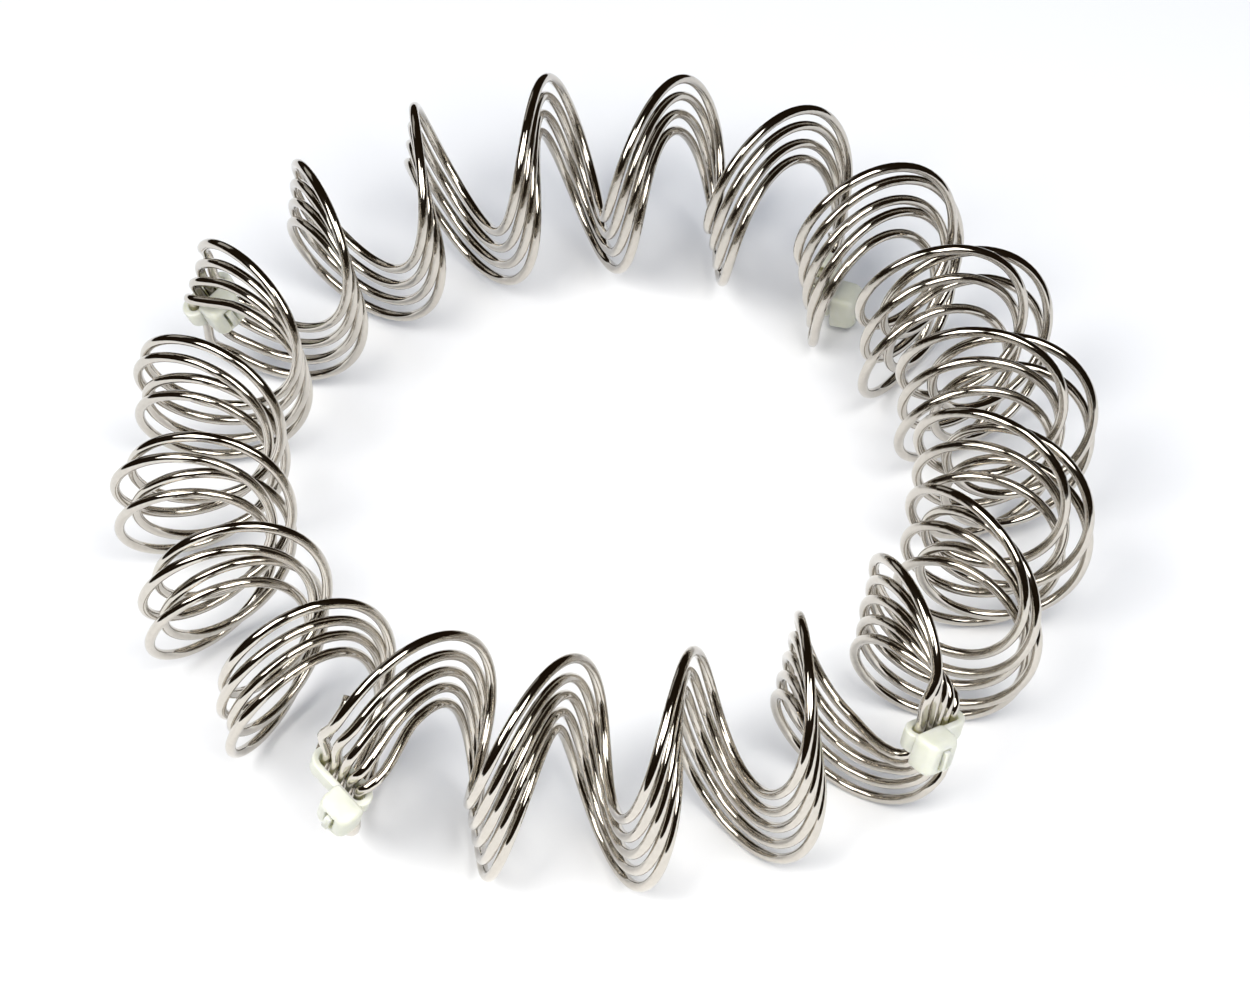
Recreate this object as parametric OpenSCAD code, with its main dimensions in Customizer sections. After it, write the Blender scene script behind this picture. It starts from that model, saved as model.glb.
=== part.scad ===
// Long open coil spring that supports a hose, wound up into a ring of nested laps.
// Four cable ties hold the laps together. All sizes are in millimetres.

/* [Wire] */
// Diameter of the round spring wire
wire_d = 1.8; // [1.2:0.1:2]

/* [Coil] */
// Diameter of the coil, measured to the middle of the wire
coil_d = 26; // [22:0.5:30]
// Coil turns in one lap of the ring
turns_per_lap = 20; // [18:1:22]

/* [Ring] */
// Diameter of the ring, measured to the middle of the coil
ring_d = 141; // [125:1:165]
// Whole laps of the ring, before the last part lap that ends at the third tie
full_laps = 4; // [3:1:5]
// Drop from one lap to the next
lap_drop = 4.4; // [4:0.1:6]
// How far the laps stand apart sideways where no tie is near
side_spread = 2.8; // [0:0.1:3.5]
// How far the ring is out of round
out_of_round = 0.75; // [0:0.05:2]

/* [Wire ends] */
// How far the free end is bent outwards
tip_out = 3.5; // [0:0.5:4]
// How far the free end is bent back along the ring
tip_back = 4; // [0:0.5:5]
// How far the last lap closes in before its end
tail_in = 2.5; // [0:0.5:3]

/* [Cable ties] */
// Width of the strap
strap_w = 3.6; // [2.5:0.1:4.8]
// Thickness of the strap
strap_t = 1.2; // [0.9:0.1:1.5]
// Length of the head along the strap
head_l = 6.6; // [5:0.1:8]
// Width of the head across the strap
head_w = 6.4; // [5.6:0.1:8]
// Height of the head above the strap
head_h = 4.2; // [3:0.1:6]
// How far the cut strap stands out of the head
stub = 0.7; // [0.3:0.1:3]
// Gap between the strap and the wires that it holds
strap_gap = 0.3; // [0.2:0.05:0.5]

/* [Hidden] */

// Where each tie sits: the coil in each lap and the angle round the coil. Then the side of the
// row of wires that its head is on, and the head's place along the row from -0.5 to 0.5
TIES = [[0, 350, -1, 0.5], [4, 360, -1, -0.5], [10, 265, -1, 0.5], [15, 350, 1, 0]];

// Angle round the ring at which the wire starts, and angle round the coil there
start_a = -127.4;
start_coil_a = 240;
// The wire runs on past the third tie by this part of a coil
end_past = 0.2;

coil_r = coil_d / 2;
ring_r = ring_d / 2;
wire_r = wire_d / 2;

// Turn of a lap at which the coil angle first reaches the tie
function tie_turn(i) = TIES[i][0] + ((TIES[i][1] - start_coil_a) % 360 + 360) % 360 / 360;

total_turns = full_laps * turns_per_lap + tie_turn(2) + end_past;
laps = total_turns / turns_per_lap;

// Clearances between neighbouring strands, in the open nest and side by side in a tie
lay = wire_d * 1.14;
row = wire_d * 1.09;

// The sideways spread is greatest in this direction and ends this far to each side of it
spread_a = 11;
spread_span = 75;
// The laps lie a little closer in height where they are spread
spread_sink = 0.2;
// On the other side of the ring the laps lie in pairs. The lower lap of a pair stands further
// out, and the two are closer in height
pair_a = 193;
pair_span = 50;
pair_spread = 1.7;
pair_rise = 0.35;
// The spread dies out this close to a tie, in degrees of the ring
calm_span = 24;
// The first lap starts this much higher
start_rise = 1;
// Part of a lap over which the ends settle
end_fade = 0.12;
// Turns over which the free end is bent
tip_turns = 0.45;
// Rings of points in one coil turn and corners round the wire
rings = 12;
sides = 5;
// Turns to each side of a tie over which the strands are drawn together, and those in which
// they lie straight
pull_turns = 0.18;
straight_turns = 0.5 / rings;
// How far the strands fan out between the two
fan = 1.5;
// Turns to each side of a tie over which the rings of points shift
shift_turns = 0.4;
// The corners stand this much outside the true wire and the flats inside it
corner_k = 1.09;

// The head's corners are cut off by this much, and its ends slope over this height
corner_cut = 0.9;
end_slope = 1.6;
// The slot in the head is this deep, and wider than the strap by this much to each side
slot_depth = 2;
slot_gap = 0.5;
slot_end_gap = 0.3;

function sq(x) = x * x;
function unit(v) = v / norm(v);
function wrap(a) = a - 360 * floor((a + 180) / 360);
function bump(x, span) = abs(x) < span ? sq(cos(90 * x / span)) : 0;

// Direction away from the ring's centre, and along the ring
function out_v(a) = [cos(a), sin(a), 0];

function ring_angle(t) = start_a + 360 * t / turns_per_lap;
function coil_angle(t) = start_coil_a + 360 * t;
function tie_ring_angle(i) = ring_angle(tie_turn(i));

function calm(a) =
    (1 - bump(wrap(a - tie_ring_angle(0)), calm_span))
    * (1 - bump(wrap(a - tie_ring_angle(1)), calm_span))
    * (1 - bump(wrap(a - tie_ring_angle(2)), calm_span))
    * (1 - bump(wrap(a - tie_ring_angle(3)), calm_span));

function spread_k(a) = bump(wrap(a - spread_a), spread_span) * calm(a);

// Up to 1 for the upper lap of a pair, and down to -1 for the lower one
function pair_k(t) =
    let (a = ring_angle(t), u = t / turns_per_lap)
    bump(wrap(a - pair_a), pair_span) * calm(a) * cos(180 * (u - (pair_a - start_a) / 360));

// Sideways place of a lap: odd and even laps stand apart, and the last one closes in
function lap_out(t) =
    let (a = ring_angle(t), u = t / turns_per_lap)
    - side_spread * spread_k(a) * cos(180 * (u - (spread_a - start_a) / 360))
    - pair_spread * pair_k(t)
    - tail_in * exp(-(laps - u) / end_fade) * calm(a);

// Height of a lap from the middle of the nest: each lap lies on the one below it
function lap_up(t) =
    let (u = t / turns_per_lap)
    -lap_drop * (1 - spread_sink * spread_k(ring_angle(t))) * (u - laps / 2)
    - pair_rise * pair_k(t)
    + start_rise * exp(-u / end_fade);

// Shift along the ring, for each millimetre between two laps, that lets their legs pass side by side
function leg_shift(radius) =
    let (lead = atan(radius / turns_per_lap / coil_r))
    max(0, (lay / lap_drop - sin(lead)) / cos(lead));

// Centre line of the wire before the ties draw it together
function nest(t) =
    let (
        a = ring_angle(t),
        c = coil_angle(t),
        side = lap_out(t),
        up = lap_up(t),
        bend = t < tip_turns ? sq(1 - t / tip_turns) : 0,
        round_r = ring_r + coil_r * cos(c),
        along = -leg_shift(round_r) * (up * cos(c) - side * sin(c)),
        far = round_r + side - out_of_round * cos(2 * a) + tip_out * bend,
        turned = a + (along / round_r - tip_back * bend / ring_r) * 180 / PI
    )
    far * out_v(turned) + [0, 0, up + coil_r * sin(c)];

// Number of strands in a tie
function strands(i) = floor((total_turns - tie_turn(i)) / turns_per_lap) + 1;

function mean(v) = [for (p = v) 1] * v / len(v);

// Way along the wire near a turn, and the turn at which a strand crosses the plane of its tie
function heading(t) = nest(t + 0.01) - nest(t - 0.01);
function cross_turn(t, mid, dir, n) =
    n == 0 ? t : cross_turn(t - (nest(t) - mid) * dir / (heading(t) * dir) * 0.02, mid, dir, n - 1);

// A tie's frame: its strands' turns, its middle, and its axes along the row, through it and along the wires
function tie_frame(i) =
    let (
        first = [for (k = [0 : strands(i) - 1]) tie_turn(i) + k * turns_per_lap],
        mid = mean([for (t = first) nest(t)]),
        dir = unit(mean([for (t = first) unit(heading(t))])),
        turns = [for (t = first) cross_turn(t, mid, dir, 4)],
        centre = mean([for (t = turns) nest(t)]),
        reach = nest(turns[len(turns) - 1]) - nest(turns[0]),
        across = unit(reach - (reach * dir) * dir)
    )
    [turns, centre, across, cross(dir, across), dir];

frames = [for (i = [0 : len(TIES) - 1]) tie_frame(i)];

// Shift that draws a strand onto its own straight line through a tie
function draw_in(p, t, f, k) =
    let (
        w = bump(max(0, abs(t - f[0][k]) - straight_turns), pull_turns - straight_turns),
        d = p - f[1],
        seat = (k - (len(f[0]) - 1) / 2) * row * (1 + fan * (1 - w))
    )
    w == 0 ? [0, 0, 0] : w * ((seat - d * f[2]) * f[2] - (d * f[3]) * f[3]);

function sum(v) = [for (p = v) 1] * v;

function path(t) =
    let (p = nest(t))
    p + sum([for (f = frames) for (k = [0 : len(f[0]) - 1]) draw_in(p, t, f, k)]);

// Axes of the wire's section: away from the coil's centre, and square to that
function section(t) =
    let (
        way = unit(path(t + 0.004) - path(t - 0.004)),
        c = coil_angle(t),
        rough = cos(c) * out_v(ring_angle(t)) + [0, 0, sin(c)],
        away = unit(rough - (rough * way) * way)
    )
    [away, cross(way, away)];

// Rings lie at the top, bottom, inside and outside of each coil. Near a tie they shift, so that
// one lies on each side of it
ring_count = ceil(total_turns * rings - 0.3);
crossings = [for (f = frames) each f[0]];
function to_middle(c) = c - (floor(c * rings) + 0.5) / rings;
function ring_turn(i) =
    let (t = i < ring_count ? i / rings : total_turns)
    t + sum([for (c = crossings) to_middle(c) * bump(t - c, shift_turns)]);

loops = [for (i = [0 : ring_count])
    let (t = ring_turn(i), p = path(t), s = section(t))
    [for (j = [0 : sides - 1])
        p + wire_r * corner_k * (cos(360 * j / sides) * s[0] + sin(360 * j / sides) * s[1])]];
points = [for (l = loops) for (p = l) p];

// The object stands on the surface z = 0, with its middle over the origin
xs = [for (p = points) p[0]];
ys = [for (p = points) p[1]];
zs = [for (p = points) p[2]];
place = [-(min(xs) + max(xs)) / 2, -(min(ys) + max(ys)) / 2, -min(zs)];

module spring() {
    side_faces = [for (i = [0 : ring_count - 1]) for (j = [0 : sides - 1])
        let (k = (j + 1) % sides, a = i * sides, b = a + sides)
        each [[a + j, a + k, b + k], [a + j, b + k, b + j]]];
    start_face = [for (j = [sides - 1 : -1 : 0]) j];
    end_face = [for (j = [0 : sides - 1]) ring_count * sides + j];
    color([0.75, 0.74, 0.72])
        translate(place)
            polyhedron(points, concat(side_faces, [start_face, end_face]), convexity = 20);
}

// Slot shape with round ends, made round a row of strands
module loop_outline(long, radius) {
    square([long, 2 * radius], center = true);
    translate([-long / 2, 0]) circle(radius, $fn = 48);
    translate([long / 2, 0]) circle(radius, $fn = 48);
}

module strap(long) {
    inner = wire_r + strap_gap;
    linear_extrude(strap_w, center = true)
        difference() {
            loop_outline(long, inner + strap_t);
            loop_outline(long, inner);
        }
}

// Head with sloping ends, its corners cut off, and the slot that the cut strap stands in
module head() {
    low = wire_r + strap_gap + strap_t / 2;
    high = wire_r + strap_gap + strap_t + head_h;
    difference() {
        intersection() {
            linear_extrude(head_w, center = true)
                polygon([
                    [-head_l / 2, low],
                    [-head_l / 2, high - end_slope],
                    [-head_l / 2 + corner_cut, high],
                    [head_l / 2 - corner_cut, high],
                    [head_l / 2, high - end_slope],
                    [head_l / 2, low]
                ]);
            rotate([90, 0, 90])
                linear_extrude(2 * head_l, center = true)
                    polygon([
                        [low, -head_w / 2 + corner_cut],
                        [low + corner_cut, -head_w / 2],
                        [high - corner_cut, -head_w / 2],
                        [high, -head_w / 2 + corner_cut],
                        [high, head_w / 2 - corner_cut],
                        [high - corner_cut, head_w / 2],
                        [low + corner_cut, head_w / 2],
                        [low, head_w / 2 - corner_cut]
                    ]);
        }
        translate([-strap_t / 2 - slot_gap, high - slot_depth, -strap_w / 2 - slot_end_gap])
            cube([strap_t + 2 * slot_gap, slot_depth + 1, strap_w + 2 * slot_end_gap]);
    }
    translate([-strap_t / 2, low, -strap_w / 2])
        cube([strap_t, high - low + stub, strap_w]);
}

module cable_tie(i) {
    f = frames[i];
    long = (len(f[0]) - 1) * row;
    color([0.92, 0.93, 0.85])
        translate(place)
            multmatrix([
                [f[2][0], f[3][0], f[4][0], f[1][0]],
                [f[2][1], f[3][1], f[4][1], f[1][1]],
                [f[2][2], f[3][2], f[4][2], f[1][2]],
                [0, 0, 0, 1]
            ])
            {
                strap(long);
                translate([TIES[i][3] * long, 0, 0])
                    rotate([0, 0, 90 * (1 - TIES[i][2])])
                        head();
            }
}

module cable_tie_1() { cable_tie(0); }
module cable_tie_2() { cable_tie(1); }
module cable_tie_3() { cable_tie(2); }
module cable_tie_4() { cable_tie(3); }

spring();
cable_tie_1();
cable_tie_2();
cable_tie_3();
cable_tie_4();
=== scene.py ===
"""Looks of a long open coil spring, tied up in a ring of nested laps with four nylon cable ties.

The spring's wire and the ties are built here from the same formula and sizes as the solid part,
with a round wire and rounded mouldings. Sizes are in millimetres until a mesh is made.
"""

import math

import bpy
import numpy as np
from mathutils import Matrix, Vector


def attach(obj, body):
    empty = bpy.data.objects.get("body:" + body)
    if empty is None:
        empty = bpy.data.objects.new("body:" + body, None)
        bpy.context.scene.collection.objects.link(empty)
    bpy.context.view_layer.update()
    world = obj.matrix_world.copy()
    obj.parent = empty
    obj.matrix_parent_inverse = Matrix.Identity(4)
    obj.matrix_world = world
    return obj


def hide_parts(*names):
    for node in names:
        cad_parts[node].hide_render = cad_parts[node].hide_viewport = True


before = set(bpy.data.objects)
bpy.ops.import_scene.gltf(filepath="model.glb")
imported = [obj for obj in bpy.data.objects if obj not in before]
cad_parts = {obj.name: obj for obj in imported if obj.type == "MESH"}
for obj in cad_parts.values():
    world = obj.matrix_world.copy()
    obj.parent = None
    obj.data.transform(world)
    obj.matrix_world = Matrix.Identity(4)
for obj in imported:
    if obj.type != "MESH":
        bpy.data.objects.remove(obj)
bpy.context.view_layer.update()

MM = 0.001

# The wire, the coil and the ring, as in the part's source
WIRE_D = 1.8
COIL_D = 26.0
TURNS_PER_LAP = 20
RING_D = 141.0
FULL_LAPS = 4
LAP_DROP = 4.4
SIDE_SPREAD = 2.8
OUT_OF_ROUND = 0.75
TIP_OUT = 3.5
TIP_BACK = 4.0
TAIL_IN = 2.5

# The cable ties, as in the part's source
STRAP_W = 3.6
STRAP_T = 1.2
HEAD_L = 6.6
HEAD_W = 6.4
HEAD_H = 4.2
STUB = 0.7
STRAP_GAP = 0.3

# Heights of the head's two faces over the middle of the row of wires
HEAD_LOW = WIRE_D / 2 + STRAP_GAP + STRAP_T / 2
HEAD_HIGH = WIRE_D / 2 + STRAP_GAP + STRAP_T + HEAD_H

# Node of each tie, the coil in each lap and the angle round the coil where it sits, the side of
# the row of wires that its head is on, and the head's place along the row from -0.5 to 0.5
TIES = [
    ("cable_tie_1", 0, 350, -1, 0.5),
    ("cable_tie_2", 4, 360, -1, -0.5),
    ("cable_tie_3", 10, 265, -1, 0.5),
    ("cable_tie_4", 15, 350, 1, 0.0),
]

# Angle round the ring at which the wire starts, angle round the coil there, and the part of a
# coil by which the wire runs on past the third tie
START_A = -127.4
START_COIL_A = 240.0
END_PAST = 0.2

# Distances between the middles of neighbouring strands, in the open nest and side by side in
# a tie
LAY = WIRE_D * 1.14
ROW = WIRE_D * 1.09

# Where odd and even laps stand apart sideways, how far to each side of it, and how much closer
# in height they lie there
SPREAD_A = 11.0
SPREAD_SPAN = 75.0
SPREAD_SINK = 0.2

# Where the laps lie in pairs, how far to each side of it, and how the lower lap of a pair moves
PAIR_A = 193.0
PAIR_SPAN = 50.0
PAIR_SPREAD = 1.7
PAIR_RISE = 0.35

# Both die out this close to a tie, in degrees of the ring
CALM_SPAN = 24.0

# How much higher the first lap starts, the part of a lap over which the ends settle, and the
# turns over which the free end is bent
START_RISE = 1.0
END_FADE = 0.12
TIP_TURNS = 0.45

# The solid's tube, from which its place is worked out: rings in a turn, corners in a ring, how
# far the corners stand outside the wire, and how its rings shift near a tie and end
CAD_RINGS = 12
CAD_SIDES = 5
CAD_CORNER = 1.09
CAD_SHIFT_TURNS = 0.4
CAD_END_SHARE = 0.3

# Turns to each side of a tie over which the strands are drawn together, those in which they lie
# straight, and how far they fan out between the two
PULL_TURNS = 0.18
STRAIGHT_TURNS = 0.5 / CAD_RINGS
FAN = 1.5

# Parts of a turn over which the wire's way is measured, on its nest and on its final path, and
# the steps that find where a strand crosses its tie's plane
NEST_STEP = 0.01
PATH_STEP = 0.004
CROSSING_STEPS = 4

# Detail of the round wire: rings in a turn, points in a ring, and the bevel at its two ends
RINGS = 60
SIDES = 16
WIRE_EDGE = 0.14

# Detail of the ties: the strap's rounded edge, the steps round each end of its loop, and those of
# a rounded corner on the head and on the strap
STRAP_EDGE = 0.28
ARC_STEPS = 28
CORNER_STEPS = 6
EDGE_STEPS = 4

# The slot in the head, wider than the strap by this much to each side, and how deep it goes
SLOT_GAP = 0.35
SLOT_END_GAP = 0.25
SLOT_DEPTH = 2.2

# The cut end of the strap: how far down it starts, its teeth, its rounded edge and its slant
CUT_DEPTH = 2.3
CUT_STEPS = 10
TOOTH = 0.1
CUT_EDGE = 0.2
CUT_SLANT = 0.22

# The floor's edges
FLOOR_LEFT, FLOOR_RIGHT, FLOOR_FRONT, FLOOR_BACK = -200.0, 200.0, -190.0, 210.0

# Soft lights: name, azimuth and elevation in degrees, distance and size in metres, and radiance.
# The first two stand to the sides of the camera, with a dark gap between them
SOFTBOXES = [
    ("softbox_right", -55, 53, 0.8, (0.45, 0.5), 8.0),
    ("softbox_left", -141, 51, 0.8, (0.5, 0.51), 8.0),
    ("softbox_back", 128, 25, 0.9, (0.5, 0.35), 0.5),
]

# Colours of the lights, of the backdrop, of the blue light from all round, and of the dim room
# that the wire reflects
WARM = (1.0, 0.985, 0.95)
WHITE = (1.0, 1.0, 1.0)
SKY = (0.6, 0.73, 1.0)
ROOM = (0.20, 0.125, 0.065)

# The camera: the height and distance of the photograph's view, with its framing
VIEW_ELEVATION = 47.06
VIEW_DISTANCE = 900.0
VIEW_ROLL = -1.07
VIEW_AIM_DROP = 2.13
FOCAL_SHARE = 4.1486
SHIFT_X = 0.0174
SHIFT_Y = -0.0251
SENSOR = 36.0


def unit(v):
    """Unit vectors along the last axis."""
    return v / np.linalg.norm(v, axis=-1, keepdims=True)


def bump(x, span):
    """A smooth hump: 1 where x is 0, and 0 from span on."""
    return np.where(np.abs(x) < span, np.cos(0.5 * np.pi * x / span) ** 2, 0.0)


def wrap(angle):
    """The same angle, from -180 to 180 degrees."""
    return (angle + 180.0) % 360.0 - 180.0


def tie_turn(tie):
    """Turn of a lap at which the coil angle first reaches the tie."""
    return tie[1] + (tie[2] - START_COIL_A) % 360.0 / 360.0


TOTAL_TURNS = FULL_LAPS * TURNS_PER_LAP + tie_turn(TIES[2]) + END_PAST
LAPS = TOTAL_TURNS / TURNS_PER_LAP


def ring_angle(t):
    return START_A + 360.0 * t / TURNS_PER_LAP


def coil_angle(t):
    return START_COIL_A + 360.0 * t


def calm(angle):
    """1 away from the ties, and 0 at a tie."""
    result = 1.0
    for tie in TIES:
        result = result * (1 - bump(wrap(angle - ring_angle(tie_turn(tie))), CALM_SPAN))
    return result


def spread(angle):
    """How far the odd and even laps stand apart at an angle round the ring, from 0 to 1."""
    return bump(wrap(angle - SPREAD_A), SPREAD_SPAN) * calm(angle)


def nest(t):
    """Centre line of the wire before the ties draw it together, at an array of turns."""
    t = np.asarray(t, float)
    a = ring_angle(t)
    u = t / TURNS_PER_LAP
    c = np.radians(coil_angle(t))
    # Up to 1 for the upper lap of a pair, and down to -1 for the lower one
    pair = (
        bump(wrap(a - PAIR_A), PAIR_SPAN) * calm(a) * np.cos(np.pi * (u - (PAIR_A - START_A) / 360.0))
    )
    # Sideways place: odd and even laps stand apart, and the last one closes in
    side = (
        -SIDE_SPREAD * spread(a) * np.cos(np.pi * (u - (SPREAD_A - START_A) / 360.0))
        - PAIR_SPREAD * pair
        - TAIL_IN * np.exp(-(LAPS - u) / END_FADE) * calm(a)
    )
    # Height over the middle of the nest: each lap lies on the one below it
    up = (
        -LAP_DROP * (1 - SPREAD_SINK * spread(a)) * (u - LAPS / 2)
        - PAIR_RISE * pair
        + START_RISE * np.exp(-u / END_FADE)
    )
    # How far the free end is bent, from 1 at its tip to 0
    bend = np.where(t < TIP_TURNS, (1 - t / TIP_TURNS) ** 2, 0.0)
    round_r = RING_D / 2 + COIL_D / 2 * np.cos(c)
    # Shift along the ring, for each millimetre between two laps, that lets their legs pass
    lead = np.arctan(round_r / TURNS_PER_LAP / (COIL_D / 2))
    shift = np.maximum(0.0, (LAY / LAP_DROP - np.sin(lead)) / np.cos(lead))
    along = -shift * (up * np.cos(c) - side * np.sin(c))
    far = round_r + side - OUT_OF_ROUND * np.cos(np.radians(2 * a)) + TIP_OUT * bend
    turned = np.radians(a) + along / round_r - TIP_BACK * bend / (RING_D / 2)
    return np.stack(
        [far * np.cos(turned), far * np.sin(turned), up + COIL_D / 2 * np.sin(c)], axis=-1
    )


def tie_frame(tie):
    """The strands' turns in a tie, its middle, and its axes: along the row, through it, along the wires."""
    strands = int((TOTAL_TURNS - tie_turn(tie)) // TURNS_PER_LAP) + 1
    first = tie_turn(tie) + TURNS_PER_LAP * np.arange(strands)
    middle = nest(first).mean(axis=0)
    along = unit(unit(nest(first + NEST_STEP) - nest(first - NEST_STEP)).mean(axis=0))
    turns = first
    for _ in range(CROSSING_STEPS):
        heading = nest(turns + NEST_STEP) - nest(turns - NEST_STEP)
        turns = turns - (nest(turns) - middle) @ along / (heading @ along) * (2 * NEST_STEP)
    centre = nest(turns).mean(axis=0)
    reach = nest(turns[-1]) - nest(turns[0])
    across = unit(reach - (reach @ along) * along)
    return turns, centre, across, np.cross(along, across), along


FRAMES = [tie_frame(tie) for tie in TIES]


def path(t):
    """Centre line of the wire, drawn together in the ties."""
    t = np.asarray(t, float)
    base = nest(t)
    result = base.copy()
    for turns, centre, across, through, _ in FRAMES:
        offset = base - centre
        for k, crossing in enumerate(turns):
            x = np.maximum(0.0, np.abs(t - crossing) - STRAIGHT_TURNS)
            w = bump(x, PULL_TURNS - STRAIGHT_TURNS)
            seat = (k - (len(turns) - 1) / 2) * ROW * (1 + FAN * (1 - w))
            result += (w * (seat - offset @ across))[:, None] * across
            result -= (w * (offset @ through))[:, None] * through
    return result


def wire_rings(t, sides, radius):
    """Rings of points round the wire, one at each turn in t."""
    centre = path(t)
    way = unit(path(t + PATH_STEP) - path(t - PATH_STEP))
    a = np.radians(ring_angle(t))
    c = np.radians(coil_angle(t))
    # Axes of the wire's section: away from the coil's middle, and square to that
    rough = np.stack([np.cos(c) * np.cos(a), np.cos(c) * np.sin(a), np.sin(c)], axis=-1)
    away = unit(rough - (rough * way).sum(axis=1, keepdims=True) * way)
    beside = np.cross(way, away)
    corner = 2 * np.pi * np.arange(sides) / sides
    ring = (
        np.cos(corner)[None, :, None] * away[:, None]
        + np.sin(corner)[None, :, None] * beside[:, None]
    )
    return centre[:, None] + np.asarray(radius)[..., None, None] * ring


def cad_place():
    """The shift that the part's source gives its solids, worked out from the same rings."""
    count = math.ceil(TOTAL_TURNS * CAD_RINGS - CAD_END_SHARE)
    t = np.append(np.arange(count) / CAD_RINGS, TOTAL_TURNS)
    # Near a tie the rings shift, so that one lies on each side of it
    crossings = np.concatenate([f[0] for f in FRAMES])
    shift = np.zeros_like(t)
    for c in crossings:
        shift += (c - (math.floor(c * CAD_RINGS) + 0.5) / CAD_RINGS) * bump(t - c, CAD_SHIFT_TURNS)
    points = wire_rings(t + shift, CAD_SIDES, WIRE_D / 2 * CAD_CORNER).reshape(-1, 3)
    low, high = points.min(axis=0), points.max(axis=0)
    return np.array([-(low[0] + high[0]) / 2, -(low[1] + high[1]) / 2, -low[2]])


PLACE = cad_place()


def make_mesh(name, points, faces):
    """A smooth-shaded mesh object from points in millimetres."""
    mesh = bpy.data.meshes.new(name)
    mesh.from_pydata((np.asarray(points) * MM).tolist(), [], faces)
    mesh.polygons.foreach_set("use_smooth", np.full(len(mesh.polygons), True))
    mesh.update()
    obj = bpy.data.objects.new(name, mesh)
    bpy.context.scene.collection.objects.link(obj)
    return obj


def loft(rings, close_start=True, close_end=True):
    """Faces that join rings of equally many points, each ring closed."""
    count, sides = len(rings), len(rings[0])
    faces = []
    for i in range(count - 1):
        a, b = i * sides, (i + 1) * sides
        for j in range(sides):
            k = (j + 1) % sides
            faces.append((a + j, a + k, b + k, b + j))
    if close_start:
        faces.append(tuple(range(sides - 1, -1, -1)))
    if close_end:
        faces.append(tuple(range((count - 1) * sides, count * sides)))
    return np.concatenate(rings), faces


# Materials


def new_material(name):
    material = bpy.data.materials.new(name)
    material.use_nodes = True
    tree = material.node_tree
    return material, tree, tree.nodes["Principled BSDF"]


def add_node(tree, kind, inputs=None, **settings):
    node = tree.nodes.new(kind)
    for key, value in settings.items():
        setattr(node, key, value)
    for key, value in (inputs or {}).items():
        node.inputs[key].default_value = value
    return node


def ramp(tree, source, stops):
    """A colour ramp between two (position, colour) stops, fed by source."""
    node = add_node(tree, "ShaderNodeValToRGB")
    for element, (position, colour) in zip(node.color_ramp.elements, stops):
        element.position = position
        element.color = (*colour, 1.0)
    tree.links.new(source, node.inputs["Fac"])
    return node.outputs["Color"]


def steel_material():
    """Bright drawn stainless wire: fine lines along it, a faint mottle and small pits."""
    material, tree, bsdf = new_material("drawn_stainless_wire")
    bsdf.inputs["Metallic"].default_value = 1.0
    uv = add_node(tree, "ShaderNodeUVMap", uv_map="wire")

    def noise(scale_along, scale_round, detail, seed):
        """Noise with so many features to a millimetre along the wire and round it."""
        mapping = add_node(tree, "ShaderNodeMapping")
        mapping.inputs["Scale"].default_value = (scale_along, scale_round, 1.0)
        mapping.inputs["Location"].default_value = (seed, seed, seed)
        tree.links.new(uv.outputs["UV"], mapping.inputs["Vector"])
        texture = add_node(tree, "ShaderNodeTexNoise", {"Scale": 1.0, "Detail": detail})
        tree.links.new(mapping.outputs["Vector"], texture.inputs["Vector"])
        return texture.outputs["Fac"]

    lines = noise(0.12, 9.0, 4.0, 0.0)
    mottle = noise(0.9, 1.6, 3.0, 7.0)
    pits = noise(3.5, 5.5, 2.0, 13.0)

    colour = ramp(tree, mottle, [(0.3, (0.54, 0.505, 0.45)), (0.7, (0.605, 0.57, 0.515))])
    tree.links.new(colour, bsdf.inputs["Base Color"])

    rough = add_node(tree, "ShaderNodeMapRange", {"To Min": 0.06, "To Max": 0.11})
    tree.links.new(lines, rough.inputs["Value"])
    tree.links.new(rough.outputs["Result"], bsdf.inputs["Roughness"])

    pit_depth = add_node(
        tree, "ShaderNodeMapRange", {"From Min": 0.62, "From Max": 0.74, "To Min": 0.0, "To Max": 1.0}
    )
    tree.links.new(pits, pit_depth.inputs["Value"])
    height = add_node(tree, "ShaderNodeMath", {1: -0.5}, operation="MULTIPLY_ADD")
    tree.links.new(pit_depth.outputs["Result"], height.inputs[0])
    tree.links.new(lines, height.inputs[2])
    surface = add_node(tree, "ShaderNodeBump", {"Strength": 0.02, "Distance": 0.00001})
    tree.links.new(height.outputs["Value"], surface.inputs["Height"])
    tree.links.new(surface.outputs["Normal"], bsdf.inputs["Normal"])
    return material


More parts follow.
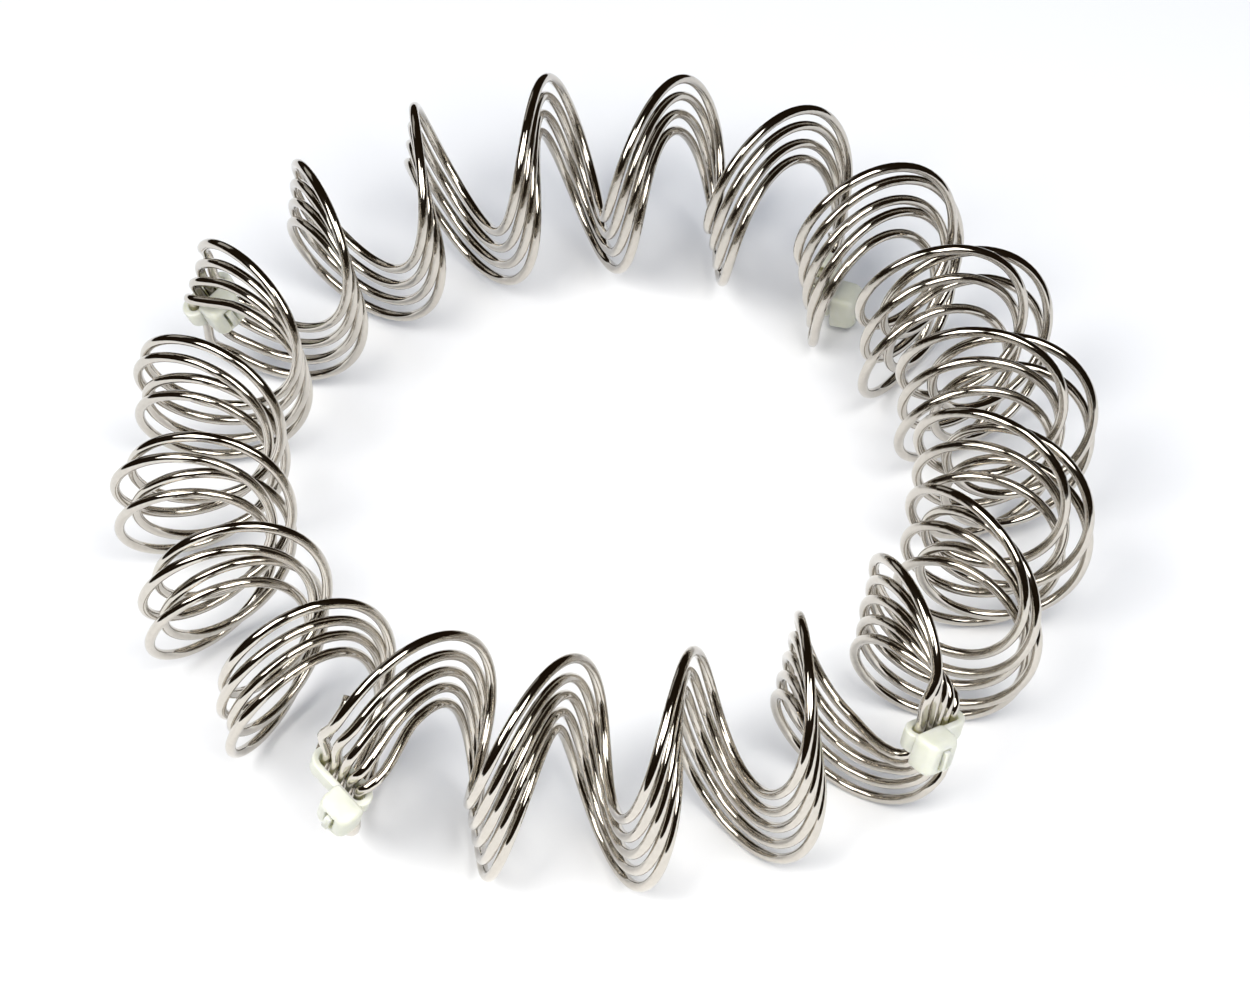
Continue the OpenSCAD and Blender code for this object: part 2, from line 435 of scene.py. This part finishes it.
def nylon_material():
    """Natural nylon: waxy, a little yellow and slightly translucent."""
    material, tree, bsdf = new_material("natural_nylon")
    position = add_node(tree, "ShaderNodeTexCoord")
    cloudy = add_node(tree, "ShaderNodeTexNoise", {"Scale": 260.0, "Detail": 3.0})
    tree.links.new(position.outputs["Object"], cloudy.inputs["Vector"])
    colour = ramp(tree, cloudy.outputs["Fac"], [(0.3, (0.56, 0.565, 0.485)), (0.7, (0.63, 0.635, 0.56))])
    tree.links.new(colour, bsdf.inputs["Base Color"])
    grain = add_node(tree, "ShaderNodeTexNoise", {"Scale": 2600.0, "Detail": 2.0})
    tree.links.new(position.outputs["Object"], grain.inputs["Vector"])
    rough = add_node(tree, "ShaderNodeMapRange", {"To Min": 0.30, "To Max": 0.46})
    tree.links.new(grain.outputs["Fac"], rough.inputs["Value"])
    tree.links.new(rough.outputs["Result"], bsdf.inputs["Roughness"])
    surface = add_node(tree, "ShaderNodeBump", {"Strength": 0.15, "Distance": 0.00005})
    tree.links.new(grain.outputs["Fac"], surface.inputs["Height"])
    tree.links.new(surface.outputs["Normal"], bsdf.inputs["Normal"])
    bsdf.inputs["Subsurface Weight"].default_value = 0.7
    bsdf.inputs["Subsurface Radius"].default_value = (1.0, 1.0, 0.7)
    bsdf.inputs["Subsurface Scale"].default_value = 0.003
    bsdf.inputs["IOR"].default_value = 1.53
    return material


def floor_material():
    """Matt pale board, with hardly any sheen."""
    material, tree, bsdf = new_material("pale_floor")
    position = add_node(tree, "ShaderNodeTexCoord")
    cloudy = add_node(tree, "ShaderNodeTexNoise", {"Scale": 4.0, "Detail": 2.0})
    tree.links.new(position.outputs["Object"], cloudy.inputs["Vector"])
    colour = ramp(tree, cloudy.outputs["Fac"], [(0.3, (0.795, 0.795, 0.8)), (0.7, (0.81, 0.81, 0.81))])
    tree.links.new(colour, bsdf.inputs["Base Color"])
    bsdf.inputs["Roughness"].default_value = 0.9
    bsdf.inputs["Specular IOR Level"].default_value = 0.1
    return material


# The spring


def build_spring(material):
    """The wire as one round tube, with a bevel at each end and its drawing lines laid along it."""
    # The bevel's length as a part of a turn
    edge = WIRE_EDGE / (np.pi * COIL_D)
    inner = np.linspace(edge, TOTAL_TURNS - edge, int(TOTAL_TURNS * RINGS))
    t = np.concatenate([[0.0], inner, [TOTAL_TURNS]])
    radius = np.full(len(t), WIRE_D / 2)
    radius[[0, -1]] = WIRE_D / 2 - WIRE_EDGE
    rings = wire_rings(t, SIDES, radius) + PLACE
    points, faces = loft(list(rings))
    spring = make_mesh("spring_wire", points, faces)
    caps = len(spring.data.polygons) - 2
    spring.data.polygons[caps].use_smooth = False
    spring.data.polygons[caps + 1].use_smooth = False

    # Lengths in millimetres: along the wire, and round it
    centre = path(t)
    along = np.concatenate([[0.0], np.cumsum(np.linalg.norm(np.diff(centre, axis=0), axis=1))])
    layer = spring.data.uv_layers.new(name="wire")
    uv = []
    side_length = np.pi * WIRE_D / SIDES
    for i in range(len(t) - 1):
        for j in range(SIDES):
            uv += [along[i], j * side_length, along[i], (j + 1) * side_length]
            uv += [along[i + 1], (j + 1) * side_length, along[i + 1], j * side_length]
    # The two end faces
    uv += [0.0, 0.0] * (2 * SIDES)
    layer.data.foreach_set("uv", uv)
    spring.data.materials.append(material)
    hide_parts("spring")
    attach(spring, "root")


# The cable ties. Each is built in its own frame: x along the row of wires, y through it and
# z along the wires


def rounded_rectangle(half_x, half_z, corner, steps):
    """Points round a rectangle with rounded corners, as (x, z) pairs."""
    corner = min(corner, half_x, half_z)
    points = []
    for quarter, (sx, sz) in enumerate([(1, 1), (-1, 1), (-1, -1), (1, -1)]):
        for step in range(steps):
            angle = math.radians(90 * quarter + 90 * step / (steps - 1))
            points.append(
                (
                    sx * (half_x - corner) + corner * math.cos(angle),
                    sz * (half_z - corner) + corner * math.sin(angle),
                )
            )
    return points


def strap_loop(long):
    """The strap: a rounded flat section carried round a slot-shaped loop."""
    middle = WIRE_D / 2 + STRAP_GAP + STRAP_T / 2
    # The middle of the arc at each spot along the loop, and the direction out of it there
    spots = []
    for end in (1, -1):
        for step in range(ARC_STEPS + 1):
            angle = math.radians(-90 * end + 180 * step / ARC_STEPS)
            spots.append((end * long / 2, math.cos(angle), math.sin(angle)))
    section = rounded_rectangle(STRAP_T / 2, STRAP_W / 2, STRAP_EDGE, EDGE_STEPS)
    rings = []
    for x, nx, ny in spots:
        rings.append([(x + (middle + r) * nx, (middle + r) * ny, z) for r, z in section])
    points, faces = loft([np.array(r) for r in rings], False, False)
    sides, last = len(section), (len(rings) - 1) * len(section)
    for j in range(sides):
        k = (j + 1) % sides
        faces.append((last + j, last + k, k, j))
    return points, faces


def head_block():
    """The head: a block with rounded edges that slopes in towards its outer face, and the slot there."""
    half_x, half_z = HEAD_L / 2, HEAD_W / 2
    # How far each level lies inside the block's ends and sides, its corners' radius and its height
    outside = [
        (half_x - inset_x, half_z - inset_z, corner, y)
        for inset_x, inset_z, corner, y in [
            (0.55, 0.55, 0.5, HEAD_LOW),
            (0.2, 0.2, 0.7, HEAD_LOW + 0.12),
            (0.0, 0.0, 0.8, HEAD_LOW + 0.5),
            (0.0, 0.0, 0.8, HEAD_LOW + 1.7),
            (0.1, 0.0, 0.8, HEAD_HIGH - 1.5),
            (0.3, 0.12, 0.9, HEAD_HIGH - 0.8),
            (0.7, 0.4, 0.9, HEAD_HIGH - 0.25),
            (1.15, 0.75, 0.8, HEAD_HIGH),
        ]
    ]
    slot_x, slot_z = STRAP_T / 2 + SLOT_GAP, STRAP_W / 2 + SLOT_END_GAP
    # The same for the slot, which is this much wider all round at each level
    inside = [
        (slot_x + wider, slot_z + wider, corner, y)
        for wider, corner, y in [
            (0.3, 0.4, HEAD_HIGH),
            (0.08, 0.25, HEAD_HIGH - 0.08),
            (0.0, 0.2, HEAD_HIGH - 0.3),
            (0.0, 0.2, HEAD_HIGH - SLOT_DEPTH),
        ]
    ]
    return loft([
        np.array([(x, y, z) for x, z in rounded_rectangle(half_long, half_wide, corner, CORNER_STEPS)])
        for half_long, half_wide, corner, y in outside + inside
    ])


def cut_end():
    """The trimmed end of the strap, standing in the slot, with its teeth and its slanted cut."""
    start = HEAD_HIGH - CUT_DEPTH
    section = rounded_rectangle(STRAP_T / 2, STRAP_W / 2, CUT_EDGE, EDGE_STEPS)
    rings = []
    for step in range(CUT_STEPS + 1):
        y = start + (HEAD_HIGH + STUB - start) * step / CUT_STEPS
        tooth = TOOTH if step % 2 else 0.0
        slant = CUT_SLANT if step == CUT_STEPS else 0.0
        rings.append(np.array([
            (x - (tooth if x > 0 else 0.0), y - slant * (z / STRAP_W + 0.5), z) for x, z in section
        ]))
    return loft(rings)


def build_tie(tie, tie_axes, material):
    """One cable tie: its loop, its head and the cut end of its strap, set round its row of wires."""
    node, _, _, side, spot = tie
    turns, centre, across, through, along = tie_axes
    long = (len(turns) - 1) * ROW
    points, faces = strap_loop(long)
    all_points, all_faces = [points], list(faces)
    count = len(points)
    for piece_points, piece_faces in (head_block(), cut_end()):
        moved = piece_points * np.array([side, side, 1.0]) + np.array([spot * long, 0.0, 0.0])
        all_points.append(moved)
        all_faces += [tuple(i + count for i in face) for face in piece_faces]
        count += len(moved)
    local = np.concatenate(all_points)
    placed = centre + PLACE + local @ np.array([across, through, along])
    mesh = make_mesh(node.replace("cable_tie", "nylon_tie"), placed, all_faces)
    mesh.data.materials.append(material)
    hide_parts(node)
    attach(mesh, "root")


# The floor, the light and the camera


def build_floor():
    """A sheet of pale board, wider than the photograph's view of the object."""
    corners = [
        (FLOOR_LEFT, FLOOR_FRONT, 0),
        (FLOOR_RIGHT, FLOOR_FRONT, 0),
        (FLOOR_RIGHT, FLOOR_BACK, 0),
        (FLOOR_LEFT, FLOOR_BACK, 0),
    ]
    floor = make_mesh("floor", corners, [(0, 1, 2, 3)])
    floor.data.materials.append(floor_material())


def towards(azimuth, elevation):
    """Unit vector in a direction given in degrees."""
    a, e = math.radians(azimuth), math.radians(elevation)
    return Vector((math.cos(a) * math.cos(e), math.sin(a) * math.cos(e), math.sin(e)))


def softbox(name, direction, distance, size, radiance):
    """A warm rectangular light that faces the object, of a size in metres and one brightness all over."""
    data = bpy.data.lights.new(name, "AREA")
    data.shape = "RECTANGLE"
    data.size, data.size_y = size
    data.energy = radiance * math.pi * size[0] * size[1]
    data.color = WARM
    light = bpy.data.objects.new(name, data)
    bpy.context.scene.collection.objects.link(light)
    side = Vector((0, 0, 1)).cross(direction).normalized()
    turn = Matrix((side, direction.cross(side), direction)).transposed()
    light.matrix_world = Matrix.Translation(distance * direction) @ turn.to_4x4()


def build_world():
    """White where the camera sees it, a dim room in reflections, and a soft blue light elsewhere."""
    world = bpy.data.worlds.new("studio")
    world.use_nodes = True
    bpy.context.scene.world = world
    tree = world.node_tree
    tree.nodes.remove(tree.nodes["Background"])
    ray = add_node(tree, "ShaderNodeLightPath")

    def glow(colour, strength):
        inputs = {"Color": (*colour, 1.0), "Strength": strength}
        return add_node(tree, "ShaderNodeBackground", inputs).outputs["Background"]

    def choose(kind, otherwise, chosen):
        mix = add_node(tree, "ShaderNodeMixShader")
        tree.links.new(ray.outputs[kind], mix.inputs["Fac"])
        tree.links.new(otherwise, mix.inputs[1])
        tree.links.new(chosen, mix.inputs[2])
        return mix.outputs["Shader"]

    bounced = choose("Is Glossy Ray", glow(SKY, 0.3), glow(ROOM, 0.08))
    seen = choose("Is Camera Ray", bounced, glow(WHITE, 1.1))
    tree.links.new(seen, tree.nodes["World Output"].inputs["Surface"])


def build_camera():
    """The photograph's view, from the front and above, aimed a little under the part's middle."""
    elevation = math.radians(VIEW_ELEVATION)
    roll = math.radians(VIEW_ROLL)
    back = Vector((0, -math.cos(elevation), math.sin(elevation)))
    right = Vector((1, 0, 0))
    up = back.cross(right)
    camera_right = right * math.cos(roll) + up * math.sin(roll)
    camera_up = -right * math.sin(roll) + up * math.cos(roll)
    aim = Vector(PLACE) - Vector((0, 0, VIEW_AIM_DROP))

    data = bpy.data.cameras.new("camera")
    data.sensor_fit = "HORIZONTAL"
    data.sensor_width = SENSOR
    data.lens = FOCAL_SHARE * SENSOR
    data.shift_x = SHIFT_X
    data.shift_y = SHIFT_Y
    data.clip_start = 0.05
    data.clip_end = 30.0
    camera = bpy.data.objects.new("camera", data)
    bpy.context.scene.collection.objects.link(camera)
    turn = Matrix((camera_right, camera_up, back)).transposed()
    camera.matrix_world = Matrix.Translation((aim + VIEW_DISTANCE * back) * MM) @ turn.to_4x4()
    bpy.context.scene.camera = camera


build_spring(steel_material())
nylon = nylon_material()
for tie, axes in zip(TIES, FRAMES):
    build_tie(tie, axes, nylon)
build_floor()
for name, azimuth, elevation, distance, size, radiance in SOFTBOXES:
    softbox(name, towards(azimuth, elevation), distance, size, radiance)
build_world()
build_camera()
bpy.context.scene.view_settings.view_transform = "Standard"
